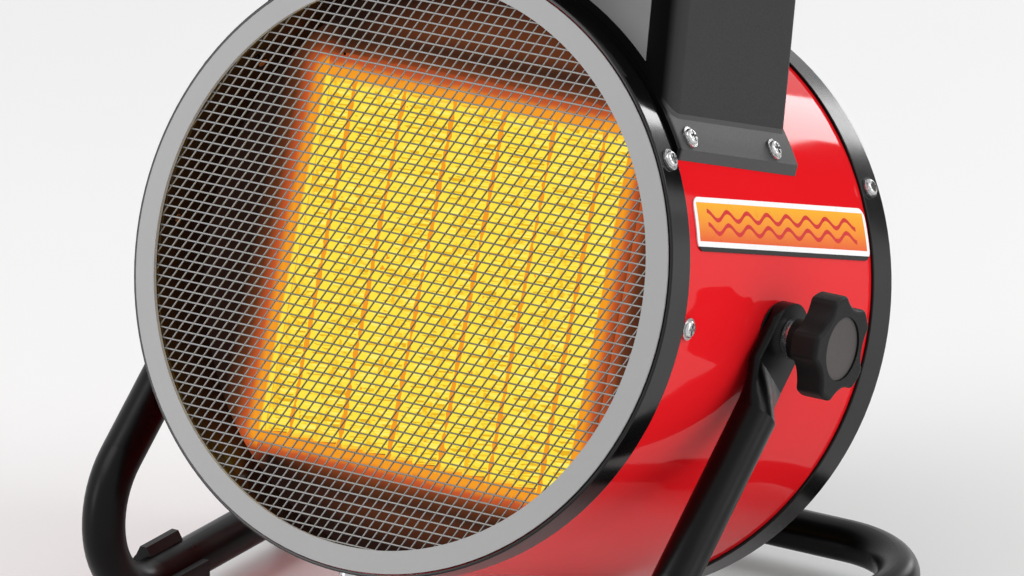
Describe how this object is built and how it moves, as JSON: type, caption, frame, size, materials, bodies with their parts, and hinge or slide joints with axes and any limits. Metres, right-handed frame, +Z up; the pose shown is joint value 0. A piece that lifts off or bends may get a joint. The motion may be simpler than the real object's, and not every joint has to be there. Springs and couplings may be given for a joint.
{
  "type": "ceramic fan heater",
  "caption": "Drum-shaped ceramic fan heater with a wire-mesh front, a control housing with carry handle on top and a bent-tube stand that lets it tilt.",
  "frame": {"origin": "on the floor, in the middle of the overall footprint", "axes": "+Z up, the mesh front faces -Y, +X to the right seen from the front"},
  "size_m": [0.2772, 0.233, 0.3518],
  "materials": {
    "drum_red": "gloss red stove enamel",
    "band_black": "gloss black enamel",
    "bezel_grey": "satin grey enamel",
    "mesh_steel": "bright wire",
    "screw_chrome": "bright plated",
    "ptc_ceramic": "hot ceramic",
    "fin_aluminium": "thin folded sheet, lit by the hot strips",
    "rail_insulator": "moulded heat-resistant insulator",
    "inner_steel": "zinc-coated sheet",
    "terminal_brass": "bare",
    "motor_case": "dark enamel",
    "fan_metal": "pressed sheet",
    "grille_black": "satin black enamel",
    "housing_black": "fine-grained satin",
    "panel_grey": "satin",
    "knob_black": "fine-grained",
    "cap_grey": "smooth",
    "switch_body": "smooth",
    "gland_rubber": "smooth",
    "lead_sleeve": "heat-resistant sleeve",
    "label_yellow": "plain printed plate",
    "tube_black": "gloss black enamel",
    "foot_black": "satin",
    "spacer_nylon": "black",
    "stud_steel": "zinc plated"
  },
  "bodies": {
    "stand": {"stand_tube": "tube_black", "stand_feet": "foot_black", "pivot_spacers": "spacer_nylon"},
    "drum": {"drum_shell": "drum_red", "front_band": "band_black", "rear_band": "band_black", "bezel_ring": "bezel_grey", "mesh_level_wires": "mesh_steel", "mesh_slanted_wires": "mesh_steel", "mesh_clamp_ring": "inner_steel", "front_band_screws": "screw_chrome", "rear_band_screws": "screw_chrome", "drum_side_screws": "screw_chrome", "ptc_strips": "ptc_ceramic", "fin_plates": "fin_aluminium", "heater_fins": "fin_aluminium", "upper_element_rail": "rail_insulator", "lower_element_rail": "rail_insulator", "element_terminals": "terminal_brass", "element_screws": "screw_chrome", "baffle_plate": "inner_steel", "thermal_cutout": "switch_body", "motor_bearings": "terminal_brass", "fan_motor": "motor_case", "motor_bracket": "inner_steel", "bracket_screws": "screw_chrome", "fan_shroud": "inner_steel", "rear_grille": "grille_black", "control_housing": "housing_black", "flange_screws": "screw_chrome", "control_panel": "panel_grey", "thermostat_body": "switch_body", "selector_body": "switch_body", "cable_gland": "gland_rubber", "gland_nut": "gland_rubber", "terminal_block": "switch_body", "carry_handle": "housing_black", "handle_screws": "screw_chrome", "lead_grommet": "gland_rubber", "element_leads": "lead_sleeve", "motor_leads": "lead_sleeve", "label_plate": "label_yellow", "pivot_nuts": "stud_steel"},
    "fan": {"fan_impeller": "fan_metal", "motor_shaft": "stud_steel"},
    "thermostat_control": {"thermostat_shaft": "stud_steel", "thermostat_knob": "knob_black"},
    "selector_control": {"selector_shaft": "stud_steel", "selector_knob": "knob_black"},
    "right_washers": {"right_clamp_washers": "screw_chrome"},
    "right_knob": {"right_clamp_stud": "stud_steel", "right_star_knob": "knob_black", "right_knob_cap": "cap_grey"},
    "left_washers": {"left_clamp_washers": "screw_chrome"},
    "left_knob": {"left_clamp_stud": "stud_steel", "left_star_knob": "knob_black", "left_knob_cap": "cap_grey"}
  },
  "joints": [
    {"name": "drum_tilt", "type": "hinge", "parent": "stand", "child": "drum", "pos_m": [0, -0.00052, 0.1375], "axis": [1, 0, 0], "range_deg": [-3, 34]},
    {"name": "fan_spin", "type": "hinge", "parent": "drum", "child": "fan", "pos_m": [0, -0.00052, 0.1375], "axis": [0, 0.9373, -0.3486], "continuous": true},
    {"name": "thermostat_turn", "type": "hinge", "parent": "drum", "child": "thermostat_control", "pos_m": [-0.038, -0.01754, 0.2868], "axis": [0, 0.9373, -0.3486], "range_deg": [0, 270]},
    {"name": "selector_turn", "type": "hinge", "parent": "drum", "child": "selector_control", "pos_m": [0.038, -0.01754, 0.2868], "axis": [0, 0.9373, -0.3486], "range_deg": [0, 270]},
    {"name": "right_clamp_ease", "type": "slide", "parent": "drum", "child": "right_washers", "axis": [1, 0, 0], "range_m": [0, 0.00126]},
    {"name": "right_clamp_turn", "type": "hinge", "parent": "right_washers", "child": "right_knob", "pos_m": [0, -0.00052, 0.1375], "axis": [1, 0, 0], "range_deg": [0, 360]},
    {"name": "left_clamp_ease", "type": "slide", "parent": "drum", "child": "left_washers", "axis": [-1, 0, 0], "range_m": [0, 0.00126]},
    {"name": "left_clamp_turn", "type": "hinge", "parent": "left_washers", "child": "left_knob", "pos_m": [0, -0.00052, 0.1375], "axis": [-1, 0, 0], "range_deg": [0, 360]}
  ],
  "couplings": [
    {"joint": "right_clamp_ease", "follows": "right_clamp_turn", "m_per_rad": 0.00019894},
    {"joint": "left_clamp_ease", "follows": "left_clamp_turn", "m_per_rad": 0.00019894}
  ]
}
